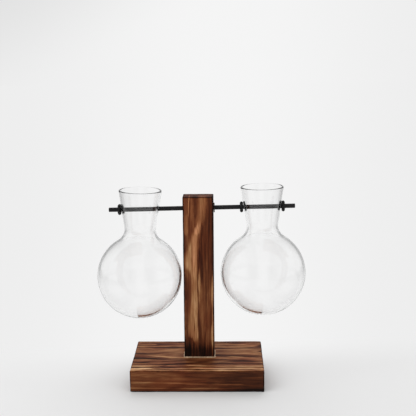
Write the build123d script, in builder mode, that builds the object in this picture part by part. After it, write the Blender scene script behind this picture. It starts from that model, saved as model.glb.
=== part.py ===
from build123d import *
from math import atan, cos, degrees, radians, sin, tan
import os

# Propagation vase: a wooden stand with a thin black rod through the top of its post, and two blown
# glass bulbs that hang on the rod by a pair of holes in their necks. Rubber rings on the rod keep the
# bulbs and the rod in place. Millimetres and degrees; +Z is up, +X follows the rod to the right, and
# the origin is the middle of the base's underside.

# Wooden base
base_length = 120.8
base_depth = 80.0
base_thickness = 20.0
base_edge_radius = 0.9
mortise_depth = 12.0
mortise_clearance = 0.15

# Wooden post, set by hand a little right of the base's middle and behind it
post_width = 27.9
post_thickness = 17.6
post_height = 152.0
post_corner_radius = 0.8
post_top_radius = 0.7
post_right_of_middle = 1.4
post_behind_middle = 3.4

# Bead of glue squeezed out round the foot of the post
bead_width = 1.5
bead_height = 1.4
bead_land = 0.25

# Iron rod, which runs up to the right because its bore was drilled a little out of level
rod_diameter = 4.0
rod_left_reach = 81.8
rod_right_reach = 88.3
rod_height = 160.5
rod_lean = 1.0
rod_end_chamfer = 0.35
rod_bore_clearance = 0.08

# Glass vases: a round bulb under a flared neck. Each hangs a little out of plumb, as its holes were
# drilled by hand: a lean is in degrees, and positive when the lip goes to the left.
bulb_radius = 39.1
bulb_to_lip = 80.6
lip_radius = 19.7
lip_rounding = 0.75
neck_flare = 8.7
shoulder_radius = 12.5
glass_wall = 1.6
glass_bottom = 2.2
neck_hole_diameter = 5.7
hang_clearance = 0.06
left_vase_reach = 53.2
left_hole_below_lip = 17.6
left_vase_lean = -1.5
right_vase_reach = 58.5
right_hole_below_lip = 18.5
right_vase_lean = 0.8

# Rubber rings: three round ones against the glass, and a thin flat one against the post
ring_section = 2.9
ring_rod_clearance = 0.1
ring_glass_gap = 0.1
post_ring_diameter = 9.0
post_ring_thickness = 0.9
post_ring_edge_radius = 0.3
post_ring_gap = 0.1

# Each cut runs this far past the face that it opens
overrun = 2.0

# The rod's line, which the post's bore, the vases and the rings are placed by
rod_radius = rod_diameter / 2
rod_slope = radians(rod_lean)


def rod_point(along):
    """Point on the rod's axis, at a distance along the rod from the middle of the post."""
    return Vector(
        post_right_of_middle + along * cos(rod_slope),
        post_behind_middle,
        rod_height + along * sin(rod_slope),
    )


def leaning_plane(point, lean):
    """Plane across the rod, upright but for its lean to the left in degrees, facing right."""
    return Plane(
        origin=point, x_dir=(0, 1, 0), z_dir=(cos(radians(lean)), 0, sin(radians(lean)))
    )


# Base: a planed board with eased arrises and a mortise for the post
mortise_floor = base_thickness - mortise_depth
post_foot = Plane(origin=(post_right_of_middle, post_behind_middle, mortise_floor))

with BuildPart() as base:
    with BuildSketch():
        Rectangle(base_length, base_depth)
    extrude(amount=base_thickness)
    fillet(base.edges(), radius=base_edge_radius)
    with BuildSketch(post_foot):
        RectangleRounded(
            post_width + 2 * mortise_clearance,
            post_thickness + 2 * mortise_clearance,
            post_corner_radius + mortise_clearance,
        )
    extrude(amount=mortise_depth + overrun, mode=Mode.SUBTRACT)
base.part.label = "base"

# Post: it stands in the mortise with its whole section, and the rod's bore crosses it near the top
with BuildPart() as post:
    with BuildSketch(post_foot):
        RectangleRounded(post_width, post_thickness, post_corner_radius)
    extrude(amount=mortise_depth + post_height)
    fillet(post.faces().sort_by(Axis.Z)[-1].edges(), radius=post_top_radius)
    with BuildSketch(leaning_plane(rod_point(0), rod_lean)):
        Circle(rod_radius + rod_bore_clearance)
    extrude(amount=post_width / 2 + overrun, both=True, mode=Mode.SUBTRACT)
post.part.label = "post"

# Glue bead: it lies on the base against the post and covers the gap round the mortise
bead_slope = degrees(atan((bead_width - bead_land) / bead_height))
bead_foot = post_foot.offset(mortise_depth)

with BuildPart() as glue_bead:
    with BuildSketch(bead_foot):
        RectangleRounded(
            post_width + 2 * bead_width,
            post_thickness + 2 * bead_width,
            post_corner_radius + bead_width,
        )
    extrude(amount=bead_height, taper=bead_slope)
    with BuildSketch(bead_foot):
        RectangleRounded(post_width, post_thickness, post_corner_radius)
    extrude(amount=bead_height + overrun, mode=Mode.SUBTRACT)
glue_bead.part.label = "glue_bead"

# Rod: plain round bar, cut square and eased at both ends
with BuildPart() as rod:
    with BuildSketch(leaning_plane(rod_point(-rod_left_reach), rod_lean)):
        Circle(rod_radius)
    extrude(amount=rod_left_reach + rod_right_reach)
    chamfer(rod.edges().filter_by(GeomType.CIRCLE), length=rod_end_chamfer)
rod.part.label = "rod"

# Glass vases: bulb and flared neck are one blown shell, thickest at the bottom, with a polished lip.
# A hole goes through each side of the neck, and the glass hangs from the tops of the two holes.
flare = radians(neck_flare)
hole_drop = neck_hole_diameter / 2 - rod_radius - hang_clearance


def half_section(ball_radius, ball_drop, neck_radius, top, shoulder):
    """Half of a ball with a flared neck, in the open sketch, with the neck's middle at its origin."""
    with Locations((0, -ball_drop)):
        Circle(ball_radius)
    Polygon(
        (0, -ball_drop),
        (neck_radius - ball_drop * tan(flare), -ball_drop),
        (neck_radius + top * tan(flare), top),
        (0, top),
        align=None,
    )
    split(bisect_by=Plane.YZ)
    where_neck_meets_ball = vertices().sort_by(Axis.Y)[-3]
    fillet(where_neck_meets_ball, radius=shoulder)


def neck_radius_at_hole(hole_below_lip):
    """Outside radius of a neck at the level of its holes."""
    return lip_radius - hole_below_lip * tan(flare)


def blown_vase(label, along, lean, hole_below_lip):
    """Glass vase with a lean in degrees, hung on the rod at a distance from the middle of the post."""
    hang = rod_point(along)
    section_plane = leaning_plane(hang, lean)
    neck_radius = neck_radius_at_hole(hole_below_lip)
    bulb_drop = bulb_to_lip - hole_below_lip
    with BuildPart() as vase:
        with BuildSketch(section_plane):
            half_section(bulb_radius, bulb_drop, neck_radius, hole_below_lip, shoulder_radius)
        revolve(axis=Axis(hang, section_plane.y_dir))
        with BuildSketch(section_plane):
            half_section(
                bulb_radius - (glass_wall + glass_bottom) / 2,
                bulb_drop - (glass_bottom - glass_wall) / 2,
                neck_radius - glass_wall / cos(flare),
                hole_below_lip + overrun,
                shoulder_radius + glass_wall,
            )
        revolve(axis=Axis(hang, section_plane.y_dir), mode=Mode.SUBTRACT)
        fillet(vase.faces().sort_by(Axis.Z)[-1].edges(), radius=lip_rounding)
        with BuildSketch(leaning_plane(hang, rod_lean)):
            with Locations((0, -hole_drop)):
                Circle(neck_hole_diameter / 2)
        extrude(amount=lip_radius + overrun, both=True, mode=Mode.SUBTRACT)
    vase.part.label = label
    return vase


left_vase = blown_vase("left_vase", -left_vase_reach, left_vase_lean, left_hole_below_lip)
right_vase = blown_vase("right_vase", right_vase_reach, right_vase_lean, right_hole_below_lip)

# Rubber rings on the glass: round in section, square to the rod and pushed up against the neck. The
# flare comes nearest to a ring's upper edge, or to its lower edge where the vase has swung over.
tube_radius = ring_section / 2
ring_hole_radius = rod_radius + ring_rod_clearance
ring_radius = ring_hole_radius + tube_radius


def ring_on_glass(label, side, along, lean, hole_below_lip):
    """Rubber ring against the left side (side -1) or right side (side 1) of the vase that hangs there."""
    flare_from_rod = flare + side * (rod_slope - radians(lean))
    off_glass = ring_glass_gap + tube_radius
    to_glass = (neck_radius_at_hole(hole_below_lip) * cos(flare) + off_glass) / cos(flare_from_rod)
    stand_off = to_glass + ring_radius * tan(flare_from_rod)
    with BuildPart(leaning_plane(rod_point(along + side * stand_off), rod_lean)) as ring:
        Torus(ring_radius, tube_radius)
    ring.part.label = label
    return ring


left_outer_ring = ring_on_glass(
    "left_outer_ring", -1, -left_vase_reach, left_vase_lean, left_hole_below_lip
)
right_inner_ring = ring_on_glass(
    "right_inner_ring", -1, right_vase_reach, right_vase_lean, right_hole_below_lip
)
right_outer_ring = ring_on_glass(
    "right_outer_ring", 1, right_vase_reach, right_vase_lean, right_hole_below_lip
)

# Rubber ring on the right face of the post, which keeps the rod from creeping to the left. It is
# square to the rod, so its top is what comes nearest to the post.
post_ring_reach = (
    (post_width / 2 + post_ring_gap) / cos(rod_slope)
    + post_ring_thickness / 2
    + post_ring_diameter / 2 * tan(rod_slope)
)

with BuildPart() as post_ring:
    with BuildSketch(leaning_plane(rod_point(post_ring_reach), rod_lean)):
        Circle(post_ring_diameter / 2)
        Circle(ring_hole_radius, mode=Mode.SUBTRACT)
    extrude(amount=post_ring_thickness / 2, both=True)
    outer_edges = post_ring.edges().filter_by(GeomType.CIRCLE).group_by(SortBy.RADIUS)[-1]
    fillet(outer_edges, radius=post_ring_edge_radius)
post_ring.part.label = "post_ring"

# Files
os.makedirs("parts", exist_ok=True)
for piece in (
    base,
    post,
    glue_bead,
    rod,
    left_vase,
    right_vase,
    left_outer_ring,
    post_ring,
    right_inner_ring,
    right_outer_ring,
):
    export_step(piece.part, f"parts/{piece.part.label}.step")
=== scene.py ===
import bmesh
import bpy
from math import atan2, cos, hypot, pi, radians, sin, sqrt, tan
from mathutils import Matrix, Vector, noise


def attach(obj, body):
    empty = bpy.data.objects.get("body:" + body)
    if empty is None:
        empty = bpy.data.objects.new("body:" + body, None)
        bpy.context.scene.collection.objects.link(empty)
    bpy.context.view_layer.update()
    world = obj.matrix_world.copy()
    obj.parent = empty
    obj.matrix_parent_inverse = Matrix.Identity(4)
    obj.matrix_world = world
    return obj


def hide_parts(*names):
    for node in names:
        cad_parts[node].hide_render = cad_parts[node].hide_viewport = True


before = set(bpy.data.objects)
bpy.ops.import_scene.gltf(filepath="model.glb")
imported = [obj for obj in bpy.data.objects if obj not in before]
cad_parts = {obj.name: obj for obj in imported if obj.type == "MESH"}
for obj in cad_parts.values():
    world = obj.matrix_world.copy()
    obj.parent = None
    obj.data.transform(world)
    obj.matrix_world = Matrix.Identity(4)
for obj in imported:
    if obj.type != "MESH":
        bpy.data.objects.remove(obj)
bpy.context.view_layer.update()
mm = 0.001
white = (1.0, 1.0, 1.0, 1.0)
print("frame loaded")


# a socket that adds its own Math nodes, so that shader maths reads as an expression
class Wire:
    def __init__(self, tree, socket=None):
        self.tree = tree
        self.socket = socket

    def node(self, kind, settings={}, links={}, output=0):
        made = self.tree.nodes.new(kind)
        for key, value in settings.items():
            if key == "stops":
                fillRamp(made.color_ramp, value)
            elif key == "points":
                fillCurve(made.mapping, value)
            else:
                setattr(made, key, value)
        for key, value in links.items():
            if isinstance(value, Wire):
                self.tree.links.new(value.socket, made.inputs[key])
            else:
                made.inputs[key].default_value = value
        return Wire(self.tree, made.outputs[output] if len(made.outputs) else None)

    def other(self, output):  # another output of the same node
        return Wire(self.tree, self.socket.node.outputs[output])

    def maths(self, operation, *values):
        return self.node("ShaderNodeMath", {"operation": operation}, dict(enumerate(values)))

    def __add__(self, value): return self.maths("ADD", self, value)
    def __radd__(self, value): return self.maths("ADD", value, self)
    def __sub__(self, value): return self.maths("SUBTRACT", self, value)
    def __rsub__(self, value): return self.maths("SUBTRACT", value, self)
    def __mul__(self, value): return self.maths("MULTIPLY", self, value)
    def __truediv__(self, value): return self.maths("DIVIDE", self, value)
    def __pow__(self, value): return self.maths("POWER", self, value)

    def size(self): return self.maths("ABSOLUTE", self)
    def atLeast(self, value): return self.maths("MAXIMUM", self, value)
    def atMost(self, value): return self.maths("MINIMUM", self, value)

    def step(self, low, high, fromValue=0.0, toValue=1.0):  # eased step between two levels
        settings = {"interpolation_type": "SMOOTHSTEP"}
        links = {0: self, 1: low, 2: high, 3: fromValue, 4: toValue}
        return self.node("ShaderNodeMapRange", settings, links)

    def fall(self, low, high):  # eased step from 1 down to 0
        return self.step(low, high, 1.0, 0.0)

    def noiseAt(self, scale, detail=2.0, roughness=0.5, distortion=0.0):
        links = {"Vector": self, "Scale": scale, "Detail": detail, "Roughness": roughness,
                 "Distortion": distortion}
        return self.node("ShaderNodeTexNoise", {"noise_dimensions": "3D"}, links)

    def blend(self, first, second, mode="MIX"):  # this socket is the mask between two colours
        settings = {"data_type": "RGBA", "blend_type": mode}
        return self.node("ShaderNodeMix", settings, {0: self, 6: first, 7: second}, 2)

    def bump(self, strength, distance):  # this socket is the height, and the distance is in metres
        links = {"Strength": strength, "Distance": distance, "Height": self}
        return self.node("ShaderNodeBump", links=links)


def linear(red, green, blue):  # a colour as it is seen on screen, 0 to 255
    def level(value):
        share = value / 255
        return ((share + 0.055) / 1.055) ** 2.4 if value > 10 else share / 12.92
    return (level(red), level(green), level(blue), 1.0)


def fillRamp(ramp, stops):
    while len(ramp.elements) < len(stops):
        ramp.elements.new(0.5)
    for element, (place, colour) in zip(ramp.elements, stops):
        element.position = place
        element.color = colour


def fillCurve(mapping, points):
    curve = mapping.curves[0]
    while len(curve.points) < len(points):
        curve.points.new(0.5, 0.5)
    for point, place in zip(curve.points, sorted(points)):
        point.location = place
    mapping.update()


def newMaterial(name):  # with its wire, and the place on the piece that every pattern reads
    material = bpy.data.materials.new(name)
    material.use_nodes = True
    material.node_tree.nodes.clear()
    wire = Wire(material.node_tree)
    return material, wire, wire.node("ShaderNodeTexCoord", output="Object")


# working with pieces, in object mode and in edit mode
def deselectAll():
    bpy.ops.object.select_all(action="DESELECT")


def pick(piece):
    deselectAll()
    bpy.context.view_layer.objects.active = piece
    piece.select_set(True)


def startEdit(piece, mode="VERT", selected="DESELECT"):
    pick(piece)
    bpy.ops.object.mode_set(mode="EDIT")
    bpy.ops.mesh.select_mode(type=mode)
    bpy.ops.mesh.select_all(action=selected)
    return bmesh.from_edit_mesh(piece.data)


def endEdit():
    bpy.ops.object.mode_set(mode="OBJECT")


def turnOutwards(piece):
    startEdit(piece, selected="SELECT")
    bpy.ops.mesh.normals_make_consistent(inside=False)
    endEdit()


def newPiece(name, verts, edges, faces):
    mesh = bpy.data.meshes.new(name)
    mesh.from_pydata(verts, edges, faces)
    piece = bpy.data.objects.new(name, mesh)
    bpy.context.scene.collection.objects.link(piece)
    return piece


def spunPiece(name, profile, closed, steps, merge):  # a section in (radius, height), turned about Z
    verts = [(radius * mm, 0.0, height * mm) for radius, height in profile]
    edges = [(index, index + 1) for index in range(len(verts) - 1)]
    if closed:
        edges.append((len(verts) - 1, 0))
    piece = newPiece(name, verts, edges, [])
    startEdit(piece, selected="SELECT")
    bpy.ops.mesh.spin(steps=steps, angle=2 * pi, center=(0, 0, 0), axis=(0, 0, 1))
    bpy.ops.mesh.select_all(action="SELECT")
    bpy.ops.mesh.remove_doubles(threshold=merge * mm)
    endEdit()
    return piece


def placeAtOrigin(piece):  # its place goes into its mesh, as a CAD node's does
    pick(piece)
    bpy.ops.object.transform_apply(location=True, rotation=True, scale=True)


def smoothPiece(piece, angle):
    pick(piece)
    bpy.ops.object.shade_smooth_by_angle(angle=radians(angle))


def cutAway(piece, name, cutter):  # takes the cutter's shape out of a board
    placeAtOrigin(cutter)
    cut = piece.modifiers.new(name, "BOOLEAN")
    cut.operation = "DIFFERENCE"
    cut.solver = "EXACT"
    cut.object = cutter
    pick(piece)
    bpy.ops.object.modifier_apply(modifier=cut.name)
    bpy.data.objects.remove(cutter)


def finishPiece(piece, body, node, material):
    piece.data.materials.clear()
    piece.data.materials.append(material)
    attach(piece, body)
    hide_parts(node)


# the rod's line, which the bore, the vases and the rings are placed by
rodLine = {
    "middle": (1.4, 3.4, 160.5),  # mm, where it crosses the middle of the post
    "lean": 1.0,  # degrees, up to the right
    "radius": 2.0,
    "leftReach": 81.8,
    "rightReach": 88.3,
    "chamfer": 0.35,
    "chamferSteps": 3,
    "level": 0.01,  # mm, within a rim
    "upright": 0.99,  # of a cap's normal
    "endInset": 1.0,
    "facets": 64,
    "smooth": 30,
}
alongRod = (0, radians(90 - rodLine["lean"]), 0)  # turns an upright piece into the rod's line


def rodPoint(along):
    x, y, z = rodLine["middle"]
    lean = radians(rodLine["lean"])
    return Vector((x + along * cos(lean), y, z + along * sin(lean))) * mm


# wood: lengths are in mm, and burn runs from 0, pale wood worn bare, to 1, black char
burnStops = [
    (0.00, linear(208, 166, 122)),
    (0.16, linear(178, 132, 90)),
    (0.32, linear(146, 99, 62)),
    (0.48, linear(113, 66, 38)),
    (0.64, linear(84, 43, 22)),
    (0.82, linear(53, 25, 13)),
    (1.00, linear(20, 10, 6)),
]
# patterns of both boards: the share of its length that each keeps along the grain, and a shift,
# then the noise's scale, detail, roughness and distortion
pinePatterns = {
    "wave": (0.22, 3.0, 0.055, 2.0, 0.45),
    "ripple": (0.35, 17.0, 0.16, 2.0, 0.5),
    "hair": (0.02, 31.0, 3.4, 2.0, 0.5),
    "strand": (0.05, 83.0, 0.5, 3.0, 0.6),
    "curl": (0.13, 45.0, 0.34, 4.0, 0.62, 0.4),
    "scorch": (0.45, 57.0, 0.06, 3.0, 0.55, 0.3),
    "smoke": (0.16, 71.0, 0.22, 3.0, 0.6),
    "nibble": (0.5, 93.0, 0.5, 3.0, 0.6),
    "pores": (0.6, 11.0, 1.1, 3.0, 0.7),
    "redness": (0.3, 5.0, 0.08, 2.0),
}
pine = {
    "faceSkin": (1.1, 0.3),  # how far inside a face its own tone begins, and is full
    "throughWave": 0.6,  # how much less the rings wave through the board than across it
    "lateRise": (0.4, 0.88),  # shares of a ring over which its late wood darkens
    "lateEnd": (0.9, 1.0),
    "lateMean": 0.25,
    "scorchedRings": 2.0,  # how much stronger the rings are where the board is scorched
    "fibre": (0.03, 0.0),
    "fibreNoise": (5.0, 0.8),
    "hair": 0.3,
    "streakDepth": 0.4,  # share of a streak's depth at full strength
    "streakEnds": (0.05, 0.45),
    "streakThinnest": 0.01,
    "streakStrands": 0.4,
    "streakSmoke": 1.2,
    "nibble": 2.2,
    "charCore": 0.2,
    "wearAndHighlightFray": 3.0,
    "wearAndHighlightCore": 0.4,  # share of a pale arris band's width at full strength; the band is wear and painted highlight
    "wearAndHighlightPatches": (0.4, 0.6, 0.3, 1.0),
    "wearAndHighlightBare": 0.3,  # level of that pale band, wear and painted highlight, at which it leaves no char at all
    "endGrain": (0.6, 0.95),
    "pores": 0.5,
    "red": linear(146, 76, 34),
    "redPatches": (0.4, 0.68),
    "gloss": 0.11,
    "roughness": (0.48, 0.2, 0.15),  # of pale wood, then what burn and fibre add
    "height": (0.35, 0.2, -0.25, -0.2),  # of fibre, hair, late wood and char
    "relief": (0.5, 0.00035),  # strength, and depth in metres
}
plainStreak = {
    "onEdge": False,
    "ragged": 3.0,
    "fingers": 1.6,
    "fray": 2.0,
    "soft": 0.1,
    "tatter": 1.6,
}


def charredPine(name, wood):
    material, wire, place = newMaterial(name)
    x = wire.node("ShaderNodeSeparateXYZ", links={0: place})
    xyz = [x * 1000, x.other("Y") * 1000, x.other("Z") * 1000]
    along, across, through = (xyz["XYZ".index(letter)] for letter in wood["grain"])

    def grainNoise(keep, shift, *settings):  # noise that is drawn out along the grain
        links = {0: along * keep + (wood["seed"] + shift), 1: across, 2: through}
        return wire.node("ShaderNodeCombineXYZ", links=links).noiseAt(*settings)

    def pattern(name):  # from about -0.5 to 0.5
        return grainNoise(*pinePatterns[name]) - 0.5

    # each face was sawn by itself: how calm its grain is, and how much darker it is made; on the
    # base's front face that extra darkness is painted shade
    calm = 0.0
    burn = wood["burn"]
    for face in wood["faces"]:
        axis, sign = face["side"]
        limit = max(wood["box"][0][axis] * sign, wood["box"][1][axis] * sign)
        begins, full = pine["faceSkin"]
        onFace = (xyz[axis] * sign).step(limit - begins, limit - full)
        calm = onFace * face["calm"] + calm
        burn = onFace * face["burn"] + burn

    # the growth rings, bent by slow waves
    wave = pattern("wave")
    ripple = pattern("ripple")
    ringAcross = across - wood["pith"][0] + wave * wood["wave"] + ripple * wood["ripple"]
    ringThrough = through - wood["pith"][1] + wave * wood["wave"] * pine["throughWave"]
    rings = (ringAcross * ringAcross + ringThrough * ringThrough) ** 0.5 / wood["ringGap"]
    phase = rings.maths("FRACT", rings)
    lateWood = phase.step(*pine["lateRise"]) * (1 - phase.step(*pine["lateEnd"]))

    # fibres, curls, scorch and smoke
    fibre = grainNoise(*pine["fibre"], wood["fibreScale"], *pine["fibreNoise"]) - 0.5
    hair = pattern("hair")
    strand = pattern("strand")
    scorch = pattern("scorch")
    smoke = pattern("smoke")
    lively = (lateWood - pine["lateMean"]) * wood["ringDepth"]
    lively = lively * (1 + scorch * pine["scorchedRings"])
    lively = lively + strand * wood["strand"] + pattern("curl") * wood["curl"]
    lively = lively + smoke * wood["smoke"]
    even = fibre * wood["fibre"] + hair * pine["hair"] + scorch * wood["scorch"]
    burn = burn + lively * (1 - calm) + even

    # streaks that run with the grain: each follows a path along the board, at a depth through it
    low, high = wood["length"]
    share = (along - low) / (high - low)
    for given in wood["streaks"]:
        streak = {**plainStreak, **given}
        side, inside = (through, across) if streak["onEdge"] else (across, through)
        sideLow, sideHigh = wood["thick"] if streak["onEdge"] else wood["width"]
        path = wire.node("ShaderNodeFloatCurve", {"points": streak["path"]}, {"Value": share})
        reach = wire.node("ShaderNodeFloatCurve", {"points": streak["reach"]}, {"Value": share})
        ragged = ripple * streak["ragged"] + strand * streak["fingers"] + fibre * streak["fray"]
        offset = side - (path * (sideHigh - sideLow) + sideLow) + ragged
        half = (reach * streak["width"]).atLeast(pine["streakThinnest"])
        core = (offset / half).size().fall(streak["soft"], 1.0)
        depth = ((inside - streak["at"]) / streak["deep"]).size().fall(pine["streakDepth"], 1.0)
        ends = reach + (strand * pine["streakStrands"] + fibre) * streak["tatter"]
        tone = core * depth * ends.step(*pine["streakEnds"]) * streak["burn"]
        burn = burn + tone * (1 + smoke * pine["streakSmoke"] + strand)

    # arrises: char bites deepest there, and a pale band along some of them is wear back to pale
    # wood together with a painted highlight
    gaps = []
    for axis, (lowest, highest) in enumerate(zip(*wood["box"])):
        gaps.append((xyz[axis] - lowest).atMost(highest - xyz[axis]))
    a, b, c = gaps
    nearest = a.atMost(b).atMost(c)
    furthest = a.atLeast(b).atLeast(c)
    toArris = a + b + c - nearest - furthest
    bitten = toArris + pattern("nibble") * pine["nibble"]
    charred = bitten.fall(pine["charCore"], wood["charWidth"])
    char = charred * wood["char"]
    # each pale arris band is partly rubbed wear and partly a painted highlight where the arris
    # catches the light
    for wearAndHighlight in wood["worn"]:
        patch = grainNoise(*wearAndHighlight["patches"]).step(*pine["wearAndHighlightPatches"])
        width = wearAndHighlight["width"]
        band = (toArris + fibre * pine["wearAndHighlightFray"]).fall(width * pine["wearAndHighlightCore"], width)
        worn = band * patch * wearAndHighlight["strength"]
        for axis, sign, start, full in wearAndHighlight["faces"]:
            worn = worn * (xyz[axis] * sign).step(start, full)
        char = char * (1 - worn.atMost(pine["wearAndHighlightBare"]) / pine["wearAndHighlightBare"]) - worn
    burn = burn + char

    # the end grain drinks the stain
    normal = wire.node("ShaderNodeNewGeometry", output="Normal")
    ends = wire.node("ShaderNodeSeparateXYZ", links={0: normal}, output=wood["grain"][0])
    stain = wood["endGrain"] + pattern("pores") * pine["pores"]
    burn = burn + ends.size().step(*pine["endGrain"]) * stain
    burn = burn.atLeast(0.0).atMost(1.0)

    colour = wire.node("ShaderNodeValToRGB", {"stops": burnStops}, {0: burn})
    redness = grainNoise(*pinePatterns["redness"]).step(*pine["redPatches"]) * wood["redden"]
    colour = redness.blend(colour, pine["red"], "OVERLAY")
    plain, byBurn, byFibre = pine["roughness"]
    ofFibre, ofHair, ofLate, ofChar = pine["height"]
    relief = fibre * ofFibre + hair * ofHair + lateWood * ofLate + charred * ofChar
    shader = wire.node("ShaderNodeBsdfPrincipled", links={
        "Base Color": colour,
        "Roughness": plain + burn * byBurn + fibre * byFibre,
        "Normal": relief.bump(*pine["relief"]),
        "Specular IOR Level": pine["gloss"],
    })
    wire.node("ShaderNodeOutputMaterial", links={"Surface": shader})
    return material


baseBoard = {
    "low": (-60.4, -40.0, 0.0),
    "high": (60.4, 40.0, 20.0),
    "arris": 0.9,
    "smooth": 40,  # degrees
    "cuts": (30, 20, 5),
    "wear": 0.3,
    "seed": 2.0,
    "mortise": {"low": (-12.7, -5.55, 8.0), "high": (15.5, 12.35, 38.0)},
}
postBoard = {
    "low": (-12.55, -5.4, 8.0),
    "high": (15.35, 12.2, 172.0),
    "arris": 0.75,
    "smooth": 40,
    "cuts": (7, 4, 40),
    "wear": 0.25,
    "seed": 11.0,
    "bore": {"radius": 2.08, "length": 40.0, "facets": 48},
}
planing = {
    "steps": 4,  # faces across an arris
    "band": 1.2,  # of the arris's own size, where it is worn
    "longWave": 0.11,  # noise per mm
    "shortWave": 0.4,
    "shortShare": 0.5,
    "flush": 0.001,  # mm
}

# a streak's path and reach are points along the board, from 0 to 1: how far across it lies, and the
# share of its width that it has there
baseTop = {"at": 20.0, "deep": 9.0}
baseFront = {"at": -40.0, "deep": 9.0, "onEdge": True, "ragged": 1.0}
baseWood = {
    "grain": "XYZ",
    "seed": 4.0,
    "box": (baseBoard["low"], baseBoard["high"]),
    "length": (-60.4, 60.4),
    "width": (-40.0, 40.0),
    "thick": (0.0, 20.0),
    "pith": (10.0, -62.0),
    "ringGap": 2.7,
    "ringDepth": 0.4,
    "wave": 12.0,
    "ripple": 6.0,
    "strand": 0.3,
    "fibre": 0.8,
    "fibreScale": 1.0,
    "curl": 0.8,
    "burn": 0.5,
    "scorch": 0.35,
    "smoke": 0.3,
    "redden": 0.45,
    "char": 0.3,
    "charWidth": 1.3,
    "endGrain": 0.12,
    # front face: calm edge grain, with extra burn that is painted shade of light falling from above
    # and behind
    "faces": [{"side": (1, -1), "calm": 0.88, "burn": 0.12}],
    "streaks": [
        {**baseTop, "width": 2.4, "burn": -0.34, "ragged": 2.0,
         "path": [(0.0, 0.16), (0.2, 0.16), (0.4, 0.17), (0.6, 0.15), (1.0, 0.15)],
         "reach": [(0.0, 1.0), (0.14, 0.9), (0.24, 0.3), (0.38, 0.1), (0.46, 0.6), (0.62, 0.6),
                   (0.7, 0.5), (1.0, 0.8)]},
        {**baseTop, "deep": 7.0, "width": 4.0, "burn": -0.46, "ragged": 1.5,
         "path": [(0.0, 0.07), (0.5, 0.08), (1.0, 0.06)],
         "reach": [(0.0, 1.0), (0.12, 0.8), (0.2, 0.25), (0.35, 0.3), (0.48, 0.4), (0.6, 0.55),
                   (1.0, 0.6)]},
        {**baseTop, "width": 4.0, "burn": -0.42, "ragged": 2.0,
         "path": [(0.0, 0.5), (0.15, 0.48), (0.3, 0.44), (0.42, 0.42), (1.0, 0.42)],
         "reach": [(0.0, 0.0), (0.1, 0.25), (0.2, 0.5), (0.32, 1.0), (0.41, 0.8), (0.47, 0.0),
                   (1.0, 0.0)]},
        {**baseTop, "width": 2.8, "burn": -0.26,
         "path": [(0.0, 0.88), (1.0, 0.87)],
         "reach": [(0.0, 0.1), (0.58, 0.1), (0.68, 1.0), (0.82, 0.9), (0.92, 0.1), (1.0, 0.1)]},
        {**baseTop, "width": 2.0, "burn": -0.2,
         "path": [(0.0, 0.46), (0.62, 0.47), (0.8, 0.45), (1.0, 0.43)],
         "reach": [(0.0, 0.0), (0.58, 0.0), (0.68, 0.8), (0.85, 0.6), (1.0, 0.9)]},
        {**baseTop, "width": 3.6, "burn": 0.34,
         "path": [(0.0, 0.57), (0.12, 0.56), (0.22, 0.58), (0.4, 0.62), (1.0, 0.6)],
         "reach": [(0.0, 0.7), (0.1, 1.0), (0.2, 0.8), (0.3, 0.3), (0.45, 0.1), (1.0, 0.0)]},
        # a dark grain band; where it runs just in front of the post's foot, about 0.4 to 0.7 along,
        # it is painted shade of the post
        {**baseTop, "width": 3.8, "burn": 0.34, "ragged": 2.0,
         "path": [(0.0, 0.4), (0.12, 0.4), (0.25, 0.36), (0.45, 0.34), (0.7, 0.35), (1.0, 0.3)],
         "reach": [(0.0, 0.9), (0.12, 1.0), (0.22, 0.5), (0.32, 0.6), (0.45, 1.0), (0.6, 0.9),
                   (0.75, 0.6), (1.0, 0.3)]},
        {**baseTop, "width": 2.2, "burn": 0.36, "ragged": 1.5,
         "path": [(0.0, 0.12), (0.2, 0.14), (0.32, 0.22), (0.5, 0.26), (0.66, 0.25), (1.0, 0.24)],
         "reach": [(0.0, 0.0), (0.18, 0.2), (0.28, 0.8), (0.5, 1.0), (0.7, 0.7), (0.85, 0.4),
                   (1.0, 0.5)]},
        {**baseFront, "width": 13.0, "burn": -0.12, "soft": 0.5,
         "path": [(0.0, 0.58), (0.5, 0.56), (1.0, 0.55)],
         "reach": [(0.0, 1.0), (0.2, 0.9), (0.36, 0.5), (0.5, 0.2), (1.0, 0.1)]},
        {**baseFront, "width": 17.0, "burn": 0.12, "soft": 0.5,
         "path": [(0.0, 0.5), (1.0, 0.5)],
         "reach": [(0.0, 0.0), (0.5, 0.1), (0.62, 0.35), (0.8, 0.8), (1.0, 1.0)]},
        {**baseFront, "width": 1.1, "burn": -0.24, "fray": 1.0,
         "path": [(0.0, 0.44), (0.2, 0.43), (0.45, 0.4), (0.6, 0.38), (1.0, 0.36)],
         "reach": [(0.0, 0.7), (0.2, 0.8), (0.34, 0.5), (0.5, 0.9), (0.58, 0.4), (0.66, 0.8),
                   (0.76, 0.9), (0.86, 0.2), (1.0, 0.0)]},
        {**baseFront, "width": 1.3, "burn": -0.24, "fray": 1.0,
         "path": [(0.0, 0.2), (0.4, 0.18), (1.0, 0.2)],
         "reach": [(0.0, 1.0), (0.2, 0.9), (0.32, 0.3), (0.42, 0.7), (0.58, 0.7), (0.7, 0.2),
                   (1.0, 0.0)]},
        {**baseFront, "width": 4.0, "burn": 0.32, "fray": 1.0,
         "path": [(0.0, 0.0), (0.5, 0.01), (1.0, 0.06)],
         "reach": [(0.0, 0.3), (0.4, 0.4), (0.6, 0.7), (1.0, 1.0)]},
    ],
    # pale arris band, wear and painted highlight, where all of these hold: axis, sign, and where
    # the band begins and is full
    "worn": [
        {"faces": [(1, -1, 30.0, 38.0), (2, 1, 19.3, 19.8)], "width": 4.6, "strength": 0.22,
         "patches": (0.5, 49.0, 0.09, 3.0, 0.6)},
    ],
}
postFront = {"at": -5.4, "deep": 12.0, "ragged": 1.0}
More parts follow.
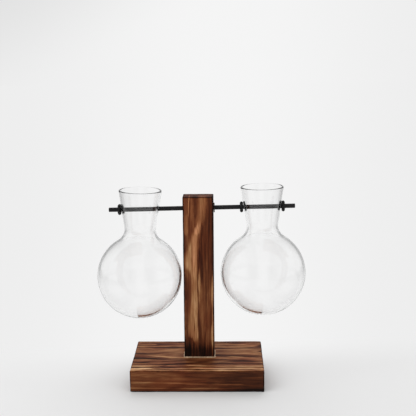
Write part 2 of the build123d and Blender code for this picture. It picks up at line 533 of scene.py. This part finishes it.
postWood = {
    "grain": "ZXY",
    "seed": 23.0,
    "box": (postBoard["low"], postBoard["high"]),
    "length": (20.0, 172.0),
    "width": (-12.55, 15.35),
    "thick": (-5.4, 12.2),
    "pith": (-4.0, 62.0),
    "ringGap": 2.2,
    "ringDepth": 0.09,
    "wave": 8.0,
    "ripple": 2.4,
    "strand": 0.22,
    "fibre": 1.0,
    "fibreScale": 0.6,
    "curl": 0.16,
    "burn": 0.505,
    "scorch": 0.16,
    "smoke": 0.12,
    "redden": 0.4,
    "char": 0.42,
    "charWidth": 1.4,
    "endGrain": 0.2,
    "faces": [],
    "streaks": [
        {**postFront, "deep": 14.0, "width": 8.4, "burn": -0.34, "ragged": 1.8, "fray": 14.0,
         "soft": 0.35, "fingers": 9.0,
         "path": [(0.0, 0.42), (0.08, 0.42), (0.15, 0.35), (0.21, 0.31), (0.28, 0.32),
                  (0.35, 0.35), (0.42, 0.38), (0.49, 0.39), (0.54, 0.35), (0.59, 0.26),
                  (0.66, 0.31), (0.73, 0.41), (0.8, 0.47), (0.84, 0.56), (0.91, 0.62),
                  (1.0, 0.68)],
         "reach": [(0.0, 0.0), (0.05, 0.04), (0.085, 0.16), (0.12, 0.4), (0.16, 0.66),
                   (0.21, 0.62), (0.28, 0.7), (0.35, 0.66), (0.42, 0.56), (0.49, 0.6),
                   (0.54, 0.72), (0.59, 0.95), (0.66, 0.95), (0.73, 0.75), (0.8, 0.46),
                   (0.84, 0.24), (0.91, 0.06), (1.0, 0.0)]},
        {**postFront, "width": 7.6, "burn": -0.23, "fray": 12.0, "soft": 0.2,
         "path": [(0.0, 0.4), (0.7, 0.4), (0.78, 0.47), (0.84, 0.54), (0.91, 0.61), (1.0, 0.67)],
         "reach": [(0.0, 0.0), (0.72, 0.0), (0.79, 0.5), (0.86, 0.65), (0.94, 0.85), (1.0, 1.0)]},
        {**postFront, "width": 1.8, "burn": -0.34, "ragged": 0.8, "fray": 1.0,
         "path": [(0.0, 0.95), (0.15, 0.93), (0.22, 0.95), (0.4, 0.94), (0.5, 0.96), (1.0, 0.99)],
         "reach": [(0.0, 0.4), (0.08, 0.6), (0.16, 1.0), (0.22, 0.6), (0.3, 0.5), (0.38, 0.9),
                   (0.44, 0.9), (0.52, 0.3), (0.57, 0.0), (1.0, 0.0)]},
        {**postFront, "width": 1.0, "burn": -0.32, "ragged": 0.6, "fray": 1.0,
         "path": [(0.0, 0.2), (0.8, 0.17), (0.9, 0.19), (1.0, 0.22)],
         "reach": [(0.0, 0.0), (0.84, 0.0), (0.9, 0.7), (0.96, 1.0), (1.0, 0.8)]},
        {**postFront, "width": 3.4, "burn": -0.17, "fray": 6.0, "soft": 0.0,
         "path": [(0.0, 0.05), (0.7, 0.05), (0.82, 0.13), (1.0, 0.16)],
         "reach": [(0.0, 0.0), (0.12, 0.2), (0.25, 0.7), (0.34, 0.4), (0.4, 0.0), (0.72, 0.0),
                   (0.78, 0.7), (0.84, 1.0), (0.9, 0.3), (0.95, 0.0), (1.0, 0.0)]},
        {**postFront, "width": 4.6, "burn": 0.17, "ragged": 2.0, "fray": 10.0, "soft": 0.0,
         "fingers": 8.0,
         "path": [(0.0, 0.05), (0.4, 0.05), (0.7, 0.02), (1.0, 0.0)],
         "reach": [(0.0, 0.6), (0.1, 0.4), (0.2, 0.0), (0.34, 0.1), (0.38, 0.7), (0.46, 1.0),
                   (0.5, 0.8), (0.55, 0.2), (0.65, 0.2), (0.69, 0.9), (0.74, 0.9), (0.8, 0.1),
                   (1.0, 0.3)]},
        {**postFront, "width": 10.5, "burn": 0.12, "ragged": 2.0, "fray": 5.0, "soft": 0.3,
         "fingers": 6.0,
         "path": [(0.0, 0.74), (0.2, 0.76), (0.5, 0.76), (0.8, 0.82), (1.0, 0.9)],
         "reach": [(0.0, 0.6), (0.12, 0.3), (0.25, 0.12), (0.4, 0.3), (0.55, 1.0), (0.75, 1.0),
                   (0.9, 0.8), (1.0, 0.75)]},
        {**postFront, "width": 5.0, "burn": 0.16, "fray": 12.0, "soft": 0.0,
         "path": [(0.0, 0.42), (0.8, 0.4), (1.0, 0.4)],
         "reach": [(0.0, 0.2), (0.1, 0.0), (0.82, 0.0), (0.9, 0.7), (1.0, 1.0)]},
        {**postFront, "width": 300.0, "burn": 0.29, "ragged": 2.0, "fray": 4.0, "soft": 0.6,
         "tatter": 0.6,
         "path": [(0.0, 0.5), (1.0, 0.5)],
         "reach": [(0.0, 0.7), (0.03, 0.55), (0.06, 0.32), (0.09, 0.14), (0.13, 0.0), (1.0, 0.0)]},
    ],
    "worn": [],
}
baseMaterial = charredPine("charredBase", baseWood)
postMaterial = charredPine("charredPost", postWood)
print("wood materials ready")


def blockBetween(low, high):  # the cube that boards and cutters start from
    deselectAll()
    middle = [(a + b) / 2 * mm for a, b in zip(low, high)]
    bpy.ops.mesh.primitive_cube_add(size=1.0, location=middle)
    block = bpy.context.object
    block.scale = [(b - a) * mm for a, b in zip(low, high)]
    return block


def cutGrid(piece, low, high, cuts):  # bisects a board all along each axis
    for axis in range(3):
        for step in range(1, cuts[axis]):
            point = [0.0, 0.0, 0.0]
            normal = [0.0, 0.0, 0.0]
            point[axis] = (low[axis] + (high[axis] - low[axis]) * step / cuts[axis]) * mm
            normal[axis] = 1.0
            startEdit(piece, selected="SELECT")
            bpy.ops.mesh.bisect(plane_co=point, plane_no=normal)
            endEdit()


def sawnBoard(name, board):
    low, high = board["low"], board["high"]
    piece = blockBetween(low, high)
    piece.name = name
    piece.data.name = name
    placeAtOrigin(piece)
    cutGrid(piece, low, high, board["cuts"])

    # the arrises are planed off, then worn unevenly
    shape = startEdit(piece, "EDGE")
    for edge in shape.edges:
        ends = [vert.co / mm for vert in edge.verts]
        flush = 0
        for axis in range(3):
            gaps = [min(abs(end[axis] - low[axis]), abs(end[axis] - high[axis])) for end in ends]
            flush += max(gaps) < planing["flush"]
        edge.select_set(flush == 2)
    bmesh.update_edit_mesh(piece.data)
    bpy.ops.mesh.bevel(
        offset=board["arris"] * mm, segments=planing["steps"], profile=0.5, affect="EDGES")
    endEdit()
    band = board["arris"] * planing["band"]
    seed = Vector((board["seed"], 0, 0))
    for vert in piece.data.vertices:
        co = vert.co / mm
        gaps = sorted(min(co[axis] - low[axis], high[axis] - co[axis]) for axis in range(3))
        if gaps[1] < band:
            inward = Vector((0, 0, 0))
            for axis in range(3):
                inward[axis] += co[axis] - low[axis] < band
                inward[axis] -= high[axis] - co[axis] < band
            worn = noise.noise(co * planing["longWave"] + seed)
            worn += noise.noise(co * planing["shortWave"]) * planing["shortShare"]
            vert.co += inward.normalized() * max(0.0, worn) * board["wear"] * mm
    return piece


# base, with the mortise that holds the post
base = sawnBoard("baseBoard", baseBoard)
cutAway(base, "mortise", blockBetween(**baseBoard["mortise"]))
smoothPiece(base, baseBoard["smooth"])
finishPiece(base, "stand", "base", baseMaterial)
print("base ready")

# post, with the bore for the rod
post = sawnBoard("postBoard", postBoard)
bore = postBoard["bore"]
deselectAll()
bpy.ops.mesh.primitive_cylinder_add(
    vertices=bore["facets"], radius=bore["radius"] * mm, depth=bore["length"] * mm,
    location=rodPoint(0))
drill = bpy.context.object
drill.rotation_euler = alongRod
cutAway(post, "bore", drill)
smoothPiece(post, postBoard["smooth"])
finishPiece(post, "stand", "post", postMaterial)
print("post ready")

# glue squeezed out round the foot of the post
glueBead = {
    "low": (-12.55, -5.4),
    "high": (15.35, 12.2),
    "corner": 0.8,
    "foot": 20.01,
    "width": 1.15,
    "height": 1.0,
    "tuck": 0.05,  # how far it runs in under its own edge, into the post
    "rows": (0.0, 0.2, 0.45, 0.7, 1.0),  # shares of a quarter turn
    "stations": 180,
    "uneven": 0.45,
    "lumps": ((0.35, 1.0), (1.3, 0.6)),  # noise per mm, and its share
    "lowest": 0.35,  # share of the height that is left where the bead is thinnest
    "seed": 3.0,
    "smooth": 70,
}
glueFinish = {
    "pale": linear(184, 158, 128),
    "tan": linear(140, 108, 80),
    "dirt": linear(98, 66, 44),
    "cloud": (420.0, 3.0, 0.6),
    "grit": (1800.0, 2.0, 0.6),
    "tanPatches": (0.35, 0.7),
    "dirtSpots": (0.6, 0.75, 0.0, 0.7),
    "roughness": (0.4, 0.3),
    "height": (0.6, 0.4),
    "relief": (0.5, 0.0003),
}


def driedGlue(glue):
    material, wire, place = newMaterial("driedGlue")
    cloud = place.noiseAt(*glue["cloud"])
    grit = place.noiseAt(*glue["grit"])
    colour = cloud.step(*glue["tanPatches"]).blend(glue["pale"], glue["tan"])
    colour = grit.step(*glue["dirtSpots"]).blend(colour, glue["dirt"])
    plain, byCloud = glue["roughness"]
    ofCloud, ofGrit = glue["height"]
    shader = wire.node("ShaderNodeBsdfPrincipled", links={
        "Base Color": colour,
        "Roughness": plain + cloud * byCloud,
        "Normal": (cloud * ofCloud + grit * ofGrit).bump(*glue["relief"]),
    })
    wire.node("ShaderNodeOutputMaterial", links={"Surface": shader})
    return material


def roundedRing(count, low, high, corner):  # points and outward directions round a rectangle
    nearX, nearY = low[0] + corner, low[1] + corner
    farX, farY = high[0] - corner, high[1] - corner
    # each side: its start, its direction, its length and the middle of the corner that follows
    sides = [
        ((nearX, low[1]), (1, 0), farX - nearX, (farX, nearY)),
        ((high[0], nearY), (0, 1), farY - nearY, (farX, farY)),
        ((farX, high[1]), (-1, 0), farX - nearX, (nearX, farY)),
        ((low[0], farY), (0, -1), farY - nearY, (nearX, nearY)),
    ]
    legs = []
    for side in sides:
        legs += [side[2], corner * pi / 2]
    ring = []
    for index in range(count):
        run = sum(legs) * index / count
        leg = 0
        while run > legs[leg]:
            run -= legs[leg]
            leg += 1
        (x, y), along, length, middle = sides[leg // 2]
        out = (along[1], -along[0])
        if leg % 2 == 0:
            point = (x + along[0] * run, y + along[1] * run)
        else:
            turn = atan2(out[1], out[0]) + run / corner
            out = (cos(turn), sin(turn))
            point = (middle[0] + out[0] * corner, middle[1] + out[1] * corner)
        ring.append((point, out))
    return ring


def glueShape(bead):
    stations = roundedRing(bead["stations"], bead["low"], bead["high"], bead["corner"])
    verts = []
    for (x, y), out in stations:
        spot = Vector((x, y, bead["seed"]))
        lump = 0.5 + sum(noise.noise(spot * scale) * share for scale, share in bead["lumps"])
        swell = 1 - bead["uneven"] * max(0.0, min(1.0, lump))
        width = bead["width"] * swell
        height = bead["height"] * (bead["lowest"] + (1 - bead["lowest"]) * swell)
        section = [(-bead["tuck"], 0.0)]
        for row in bead["rows"]:
            angle = row * pi / 2
            section.append((width * cos(angle) - bead["tuck"] * row, height * sin(angle)))
        for reach, rise in section:
            spot = Vector((x + out[0] * reach, y + out[1] * reach, bead["foot"] + rise))
            verts.append(spot * mm)
    faces = []
    count = len(bead["rows"]) + 1
    for index in range(len(stations)):
        here = index * count
        there = (index + 1) % len(stations) * count
        for step in range(count):
            after = (step + 1) % count
            faces.append((here + step, there + step, there + after, here + after))
    piece = newPiece("glueSqueezeOut", verts, [], faces)
    turnOutwards(piece)
    return piece


glue = glueShape(glueBead)
smoothPiece(glue, glueBead["smooth"])
finishPiece(glue, "stand", "glue_bead", driedGlue(glueFinish))
print("glue ready")

# rod
ironFinish = {
    "black": linear(15, 14, 16),
    "rubbed": linear(40, 38, 39),
    "skin": linear(28, 26, 27),
    "drawn": (0.15, 1.0, 1.0),  # share of its length that a pattern keeps along the rod
    "skinNoise": (900.0, 3.0, 0.6),
    "skinPatches": (0.35, 0.8, 0.0, 0.35),
    "rubNoise": (160.0, 3.0, 0.6),
    "rubPatches": (0.56, 0.72),
    "metallic": 0.25,
    "roughness": (0.36, 0.2, -0.08),  # of plain skin, then what skin and rubbing add
    "relief": (0.35, 0.00008),
    "gloss": 0.25,
}


def blackIron(iron):
    material, wire, place = newMaterial("blackIron")
    links = {"Vector": place, "Scale": iron["drawn"]}
    drawn = wire.node("ShaderNodeMapping", {"vector_type": "POINT"}, links)
    skin = drawn.noiseAt(*iron["skinNoise"])
    rubbed = drawn.noiseAt(*iron["rubNoise"]).step(*iron["rubPatches"])
    colour = rubbed.blend(iron["black"], iron["rubbed"])
    colour = skin.step(*iron["skinPatches"]).blend(colour, iron["skin"])
    plain, bySkin, byRubbing = iron["roughness"]
    shader = wire.node("ShaderNodeBsdfPrincipled", links={
        "Base Color": colour,
        "Metallic": rubbed * iron["metallic"],
        "Roughness": plain + skin * bySkin + rubbed * byRubbing,
        "Normal": skin.bump(*iron["relief"]),
        "Specular IOR Level": iron["gloss"],
    })
    wire.node("ShaderNodeOutputMaterial", links={"Surface": shader})
    return material


deselectAll()
bpy.ops.mesh.primitive_cylinder_add(
    vertices=rodLine["facets"], radius=rodLine["radius"] * mm,
    depth=(rodLine["leftReach"] + rodLine["rightReach"]) * mm)
rod = bpy.context.object
rod.name = "ironRod"
rod.data.name = "ironRod"
shape = startEdit(rod, "EDGE")
for edge in shape.edges:  # the two rims
    edge.select_set(abs(edge.verts[0].co.z - edge.verts[1].co.z) < rodLine["level"] * mm)
bmesh.update_edit_mesh(rod.data)
bpy.ops.mesh.bevel(
    offset=rodLine["chamfer"] * mm, segments=rodLine["chamferSteps"], affect="EDGES")
bpy.ops.mesh.select_all(action="DESELECT")
shape = bmesh.from_edit_mesh(rod.data)
for face in shape.faces:  # the two ends
    face.select_set(abs(face.normal.z) > rodLine["upright"])
bmesh.update_edit_mesh(rod.data)
bpy.ops.mesh.inset(thickness=rodLine["endInset"] * mm)
endEdit()
rod.location = rodPoint((rodLine["rightReach"] - rodLine["leftReach"]) / 2)
rod.rotation_euler = alongRod
placeAtOrigin(rod)
smoothPiece(rod, rodLine["smooth"])
finishPiece(rod, "rod", "rod", blackIron(ironFinish))
print("rod ready")

# glass
glassFinish = {
    "ior": 1.48,
    "density": 5.0,
    "depthTint": linear(196, 202, 202),
    "waviness": (38.0, 2.0, 0.4),
    "relief": (0.08, 0.0012),
}
vaseShape = {
    "bulbRadius": 39.1,
    "bulbToLip": 80.6,
    "lipRadius": 19.7,
    "lipRounding": 0.75,
    "flare": 8.7,  # degrees
    "shoulder": 12.5,
    "wall": 1.6,
    "bottom": 2.2,
    "hole": 2.85,
    "hangClearance": 0.06,
    "holeEdge": 0.42,  # rounding of a hole's edge
    "holeCollar": 0.605,  # a first ring of faces round a hole
    "holeRows": (0.0, 0.25, 0.5, 0.75, 1.0),
    "segments": 160,
    "rowGap": 1.1,
    "rowsEachWay": 45,
    "rowMargins": (0.5, 0.4),  # of a gap, over the shoulder and under the lip
    "ballGap": 1.6,
    "shoulderSteps": 14,
    "lipSteps": 6,
    "drillReach": (4.4, 0.25),  # mm up and down, and radians round, that are opened for a hole
    "drillDepth": 0.5,  # mm to each side of a wall's line
    "merge": 0.002,
    "smooth": 60,
}
vases = {
    "left_vase": {"name": "leftBulb", "along": -53.2, "lean": -1.5, "holeBelowLip": 17.6},
    "right_vase": {"name": "rightBulb", "along": 58.5, "lean": 0.8, "holeBelowLip": 18.5},
}
holeDrop = vaseShape["hole"] - rodLine["radius"] - vaseShape["hangClearance"]


def clearGlass(glass):
    material, wire, place = newMaterial("clearGlass")
    shader = wire.node("ShaderNodeBsdfPrincipled", links={
        "Base Color": white,
        "Roughness": 0.0,
        "IOR": glass["ior"],
        "Transmission Weight": 1.0,
        "Normal": place.noiseAt(*glass["waviness"]).bump(*glass["relief"]),
    })
    links = {"Color": glass["depthTint"], "Density": glass["density"]}
    volume = wire.node("ShaderNodeVolumeAbsorption", links=links)
    wire.node("ShaderNodeOutputMaterial", links={"Surface": shader, "Volume": volume})
    return material


def sideProfile(radius, drop, neck, shoulder, flare):
    # one wall in (radius, height): up the ball and round the shoulder, to where the neck begins
    slope = tan(flare)
    # the shoulder's centre is a shoulder's radius outside the neck's line and outside the ball
    lineRadius = neck + shoulder / cos(flare)
    a = 1 + slope * slope
    b = 2 * (lineRadius * slope + drop)
    c = lineRadius * lineRadius + drop * drop - (radius + shoulder) * (radius + shoulder)
    height = (-b + sqrt(b * b - 4 * a * c)) / (2 * a)
    centre = (lineRadius + height * slope, height)
    toBall = atan2(height + drop, centre[0])
    points = []
    count = int((toBall + pi / 2) * radius / vaseShape["ballGap"])
    for step in range(count + 1):
        angle = -pi / 2 + (toBall + pi / 2) * step / count
        points.append((radius * cos(angle), -drop + radius * sin(angle)))
    start = toBall + pi
    end = pi - flare
    count = vaseShape["shoulderSteps"]
    for step in range(1, count + 1):
        angle = start + (end - start) * step / count
        points.append((centre[0] + shoulder * cos(angle), height + shoulder * sin(angle)))
    return points


def wholeProfile(shape, below):
    flare = radians(shape["flare"])
    slope = tan(flare)
    drop = shape["bulbToLip"] - below
    neck = shape["lipRadius"] - below * slope
    innerNeck = neck - shape["wall"] / cos(flare)
    innerRadius = shape["bulbRadius"] - (shape["wall"] + shape["bottom"]) / 2
    innerDrop = drop - (shape["bottom"] - shape["wall"]) / 2
    innerShoulder = shape["shoulder"] + shape["wall"]
    outer = sideProfile(shape["bulbRadius"], drop, neck, shape["shoulder"], flare)
    inner = sideProfile(innerRadius, innerDrop, innerNeck, innerShoulder, flare)
    gap = shape["rowGap"]
    over, under = shape["rowMargins"]
    rounding = shape["lipRounding"]
    lipLevel = below - rounding
    for wall, radiusAt in ((outer, neck), (inner, innerNeck)):
        start = wall[-1][1]
        for step in range(-shape["rowsEachWay"], shape["rowsEachWay"]):
            height = gap * step - holeDrop
            if start + gap * over < height < lipLevel - gap * under:
                wall.append((radiusAt + height * slope, height))
    lip = []
    quarters = (
        (neck + lipLevel * slope - rounding / cos(flare), -flare, pi / 2 + flare),
        (innerNeck + lipLevel * slope + rounding / cos(flare), pi / 2, pi / 2 - flare),
    )
    for centre, start, sweep in quarters:
        for step in range(shape["lipSteps"] + 1):
            angle = start + sweep * step / shape["lipSteps"]
            lip.append((centre + rounding * cos(angle), lipLevel + rounding * sin(angle)))
    return outer + lip + inner[::-1], neck, innerNeck


def drillNeck(piece, shape, radiusAt, side, phi, inwards):
    # opens one wall of the neck round the rod, with the edge of the hole polished round
    slope = tan(radians(shape["flare"]))
    upReach, roundReach = shape["drillReach"]

    def onWall(spot):
        return abs(hypot(spot.x, spot.y) - (radiusAt + spot.z * slope)) < shape["drillDepth"]

    mesh = startEdit(piece, "FACE")
    for face in mesh.faces:
        spot = face.calc_center_median() / mm
        level = abs(spot.z + holeDrop) < upReach
        face.select_set(onWall(spot) and level and abs(atan2(spot.y, spot.x * side)) < roundReach)
    bmesh.update_edit_mesh(piece.data)
    bpy.ops.mesh.delete(type="FACE")
    bpy.ops.mesh.select_mode(type="EDGE")
    mesh = bmesh.from_edit_mesh(piece.data)
    for edge in mesh.edges:
        spot = (edge.verts[0].co + edge.verts[1].co) / 2 / mm
        edge.select_set(edge.is_boundary and onWall(spot) and spot.x * side > 0)
    bmesh.update_edit_mesh(piece.data)
    rows = [(shape["holeCollar"], 0.0)] + [(0.0, share) for share in shape["holeRows"]]
    for collar, share in rows:
        bpy.ops.mesh.extrude_edges_move()
        mesh = bmesh.from_edit_mesh(piece.data)
        angle = share * pi / 2
        reach = shape["hole"] + shape["holeEdge"] * (1 - sin(angle)) + collar
        sink = shape["holeEdge"] * (1 - cos(angle))
        for vert in mesh.verts:
            if not vert.select:
                continue
            co = vert.co / mm
            level = -holeDrop + co.x * tan(phi)
            around = atan2(co.z - level, co.y)
            y, z = reach * cos(around), level + reach * sin(around)
            wall = radiusAt + z * slope + inwards * sink
            vert.co = Vector((side * sqrt(wall * wall - y * y), y, z)) * mm
        bmesh.update_edit_mesh(piece.data)
    endEdit()


def blownVase(vase, shape):
    profile, neck, innerNeck = wholeProfile(shape, vase["holeBelowLip"])
    piece = spunPiece(vase["name"], profile, False, shape["segments"], shape["merge"])
    phi = radians(rodLine["lean"] - vase["lean"])
    for side in (-1, 1):
        drillNeck(piece, shape, neck, side, phi, -1)
        drillNeck(piece, shape, innerNeck, side, phi, 1)
        mesh = startEdit(piece, "EDGE")
        for edge in mesh.edges:
            edge.select_set(edge.is_boundary and edge.verts[0].co.x * side > 0)
        bmesh.update_edit_mesh(piece.data)
        bpy.ops.mesh.bridge_edge_loops(number_cuts=1)
        endEdit()
    turnOutwards(piece)
    piece.location = rodPoint(vase["along"])
    piece.rotation_euler = (0, radians(-vase["lean"]), 0)
    placeAtOrigin(piece)
    smoothPiece(piece, shape["smooth"])
    piece.visible_shadow = False
    return piece


glassMaterial = clearGlass(glassFinish)
for body, vase in vases.items():
    finishPiece(blownVase(vase, vaseShape), body, body, glassMaterial)
print("vases ready")

# rubber rings: three round ones against the flared necks, and a thin flat one against the post
roundRing = {
    "hole": 2.1,
    "outer": 5.0,
    "thick": 2.9,
    "edge": 1.45,  # rounding outside
    "bore": 1.45,  # rounding inside
    "mouldLine": 0.045,
}
flatRing = {**roundRing, "outer": 4.5, "thick": 0.9, "edge": 0.3, "bore": 0.12, "mouldLine": 0.0}
ringPlaces = {
    "left_outer_ring": {"shape": roundRing, "along": -72.055},
    "post_ring": {"shape": flatRing, "along": 14.581},
    "right_inner_ring": {"shape": roundRing, "along": 39.542},
    "right_outer_ring": {"shape": roundRing, "along": 77.503},
}
ringFinish = {
    "black": linear(14, 14, 15),
    "bloom": linear(30, 29, 29),
    "bloomNoise": (700.0, 3.0, 0.6),
    "bloomPatches": (0.4, 0.75),
    "dustNoise": (4200.0, 2.0, 0.6),
    "roughness": (0.55, 0.2),
    "height": (0.5, 0.5),
    "relief": (0.3, 0.00006),
    "gloss": 0.25,
}
ringMesh = {"cornerSteps": 8, "turns": 72, "merge": 0.004, "smooth": 40}


def blackRubber(rubber):
    material, wire, place = newMaterial("blackRubber")
    bloom = place.noiseAt(*rubber["bloomNoise"])
    dust = place.noiseAt(*rubber["dustNoise"])
    plain, byBloom = rubber["roughness"]
    ofBloom, ofDust = rubber["height"]
    shader = wire.node("ShaderNodeBsdfPrincipled", links={
        "Base Color": bloom.step(*rubber["bloomPatches"]).blend(rubber["black"], rubber["bloom"]),
        "Roughness": plain + bloom * byBloom,
        "Normal": (bloom * ofBloom + dust * ofDust).bump(*rubber["relief"]),
        "Specular IOR Level": rubber["gloss"],
    })
    wire.node("ShaderNodeOutputMaterial", links={"Surface": shader})
    return material


def ringProfile(shape):
    # the section in (radius, along), with a fine mould line round the outside
    half = shape["thick"] / 2
    outer = (shape["outer"] - shape["edge"], half - shape["edge"], shape["edge"])
    inner = (shape["hole"] + shape["bore"], half - shape["bore"], shape["bore"])
    points = []
    steps = ringMesh["cornerSteps"]
    corners = ((outer, 1, 0), (inner, 1, 90), (inner, -1, 180), (outer, -1, 270))
    for (radius, along, corner), sign, start in corners:
        for step in range(steps + 1):
            turn = radians(start + 90 * step / steps)
            points.append((radius + corner * cos(turn), sign * along + corner * sin(turn)))
    if shape["mouldLine"]:
        points = [(shape["outer"] - shape["mouldLine"], 0.0)] + points[:-1]
    return points


rubberMaterial = blackRubber(ringFinish)
for node, place in ringPlaces.items():
    profile = ringProfile(place["shape"])
    ring = spunPiece("rubber_" + node, profile, True, ringMesh["turns"], ringMesh["merge"])
    turnOutwards(ring)
    ring.location = rodPoint(place["along"])
    ring.rotation_euler = alongRod
    placeAtOrigin(ring)
    smoothPiece(ring, ringMesh["smooth"])
    finishPiece(ring, node, node, rubberMaterial)
print("rings ready")

# studio
studio = {
    "backdrop": 0.91,
    "vignette": 0.055,  # how much darker the backdrop is at its sides
    "vignetteSides": (0.02, 0.25),  # shares of a right angle to the side
    "topShade": 0.1,  # how much darker it is above
    "topShadeRise": (0.05, 0.2),
    "topShadeLean": 0.5,
    "topShadeSides": (0.25, 0.5),
    "flags": 0.38,  # dark cards at both sides, seen only in gloss, that draw the glass's edges
    "flagsOnBackdrop": ((0.2, 0.36), (0.55, 0.85)),
    "flagsOnFloor": ((0.15, 0.6), (1.0, 2.2)),  # metres to the side
    "floor": linear(222, 222, 222),
    "floorRadius": 6.0,
    "floorCloud": (0.7, 0.7, 0.7, 1.0),
    "cloudScale": 60.0,
    "cloudShare": 0.06,
    "floorFade": (0.12, 0.4),  # metres from the middle, where the floor turns into the backdrop
    "floorFadeBehind": (-0.02, 0.09),
    "floorTurn": 0.12,  # the line of that fade runs back to the right
    "floorFront": 0.78,  # metres from which the vignette spreads over the floor
    "ambient": 0.58,
    "aim": (0, 0, 0.09),
    "lamps": {
        "key": {"at": (-1.3, -0.9, 1.7), "size": 1.8, "watts": 19.0},
        "fill": {"at": (1.6, -1.3, 1.0), "size": 1.8, "watts": 9.0},
        "top": {"at": (0.1, 1.0, 1.8), "size": 1.5, "watts": 15.5},
    },
}


def raysToBackdrop(wire):  # 1 for rays that see the plain backdrop, and 1 for those seen in gloss
    path = wire.node("ShaderNodeLightPath")
    glossy = path.other("Is Glossy Ray")
    return path.atLeast(glossy).atLeast(path.other("Is Transmission Ray")), glossy


def cards(sideways, edges, glossy, light):  # how much darker the two cards make it
    (start, full), (fade, gone) = edges
    away = sideways.size()
    return away.step(start, full) * away.fall(fade, gone) * glossy * light["flags"]


def paleFloor(light):
    material, wire, place = newMaterial("paleFloor")
    x = wire.node("ShaderNodeSeparateXYZ", links={0: place})
    y = x.other("Y")
    behind = (y - x * light["floorTurn"]).step(*light["floorFadeBehind"])
    far = ((x * x + y * y) ** 0.5).step(*light["floorFade"]).atLeast(behind)
    cloud = place.noiseAt(light["cloudScale"]) * light["cloudShare"]
    colour = cloud.blend(light["floor"], light["floorCloud"])
    diffuse = wire.node("ShaderNodeBsdfDiffuse", links={"Color": colour})
    seen, glossy = raysToBackdrop(wire)
    sides = (x / (y.size() + light["floorFront"])).size().step(*light["vignetteSides"])
    level = light["backdrop"] - sides * light["vignette"]
    level = level - cards(x, light["flagsOnFloor"], glossy, light)
    glow = wire.node("ShaderNodeEmission", links={"Color": white, "Strength": level})
    mix = wire.node("ShaderNodeMixShader", links={0: seen * far, 1: diffuse, 2: glow})
    wire.node("ShaderNodeOutputMaterial", links={"Surface": mix})
    return material


def paleWorld(light):
    world = bpy.data.worlds.new("studio")
    world.use_nodes = True
    world.node_tree.nodes.clear()
    wire = Wire(world.node_tree)
    direction = wire.node("ShaderNodeTexCoord", output="Generated")
    x = wire.node("ShaderNodeSeparateXYZ", links={0: direction})
    seen, glossy = raysToBackdrop(wire)
    level = light["backdrop"] - x.size().step(*light["vignetteSides"]) * light["vignette"]
    above = (x.other("Z") - x * light["topShadeLean"]).step(*light["topShadeRise"])
    level = level - above * x.size().fall(*light["topShadeSides"]) * light["topShade"]
    level = level - cards(x, light["flagsOnBackdrop"], glossy, light)
    sky = wire.node("ShaderNodeBackground", links={"Color": white, "Strength": light["ambient"]})
    backdrop = wire.node("ShaderNodeBackground", links={"Color": white, "Strength": level})
    mix = wire.node("ShaderNodeMixShader", links={0: seen, 1: sky, 2: backdrop})
    wire.node("ShaderNodeOutputWorld", links={"Surface": mix})
    return world


deselectAll()
bpy.ops.mesh.primitive_circle_add(vertices=96, radius=studio["floorRadius"], fill_type="NGON")
ground = bpy.context.object
ground.name = "paleFloor"
ground.data.materials.append(paleFloor(studio))
bpy.context.scene.world = paleWorld(studio)

for name, settings in studio["lamps"].items():
    lamp = bpy.data.lights.new(name, "AREA")
    lamp.shape = "SQUARE"
    lamp.size = settings["size"]
    lamp.energy = settings["watts"]
    holder = bpy.data.objects.new(name, lamp)
    bpy.context.scene.collection.objects.link(holder)
    holder.location = settings["at"]
    towards = Vector(studio["aim"]) - Vector(settings["at"])
    holder.rotation_euler = towards.to_track_quat("-Z", "Y").to_euler()
    holder.visible_glossy = False
    holder.visible_transmission = False

# camera, at the photograph's place: lens and sensor in mm, place in mm, turn in degrees
view = {
    "lens": 75.81,
    "sensor": 36.0,
    "nearest": 10.0,
    "at": (26.30, -782.71, 309.49),
    "turn": (79.2543, 0.5044, 1.0651),
}
lens = bpy.data.cameras.new("camera")
lens.lens = view["lens"]
lens.sensor_width = view["sensor"]
lens.clip_start = view["nearest"] * mm
camera = bpy.data.objects.new("camera", lens)
bpy.context.scene.collection.objects.link(camera)
camera.location = [place * mm for place in view["at"]]
camera.rotation_euler = [radians(angle) for angle in view["turn"]]
bpy.context.scene.camera = camera
bpy.context.scene.view_settings.view_transform = "Standard"
print("studio ready")
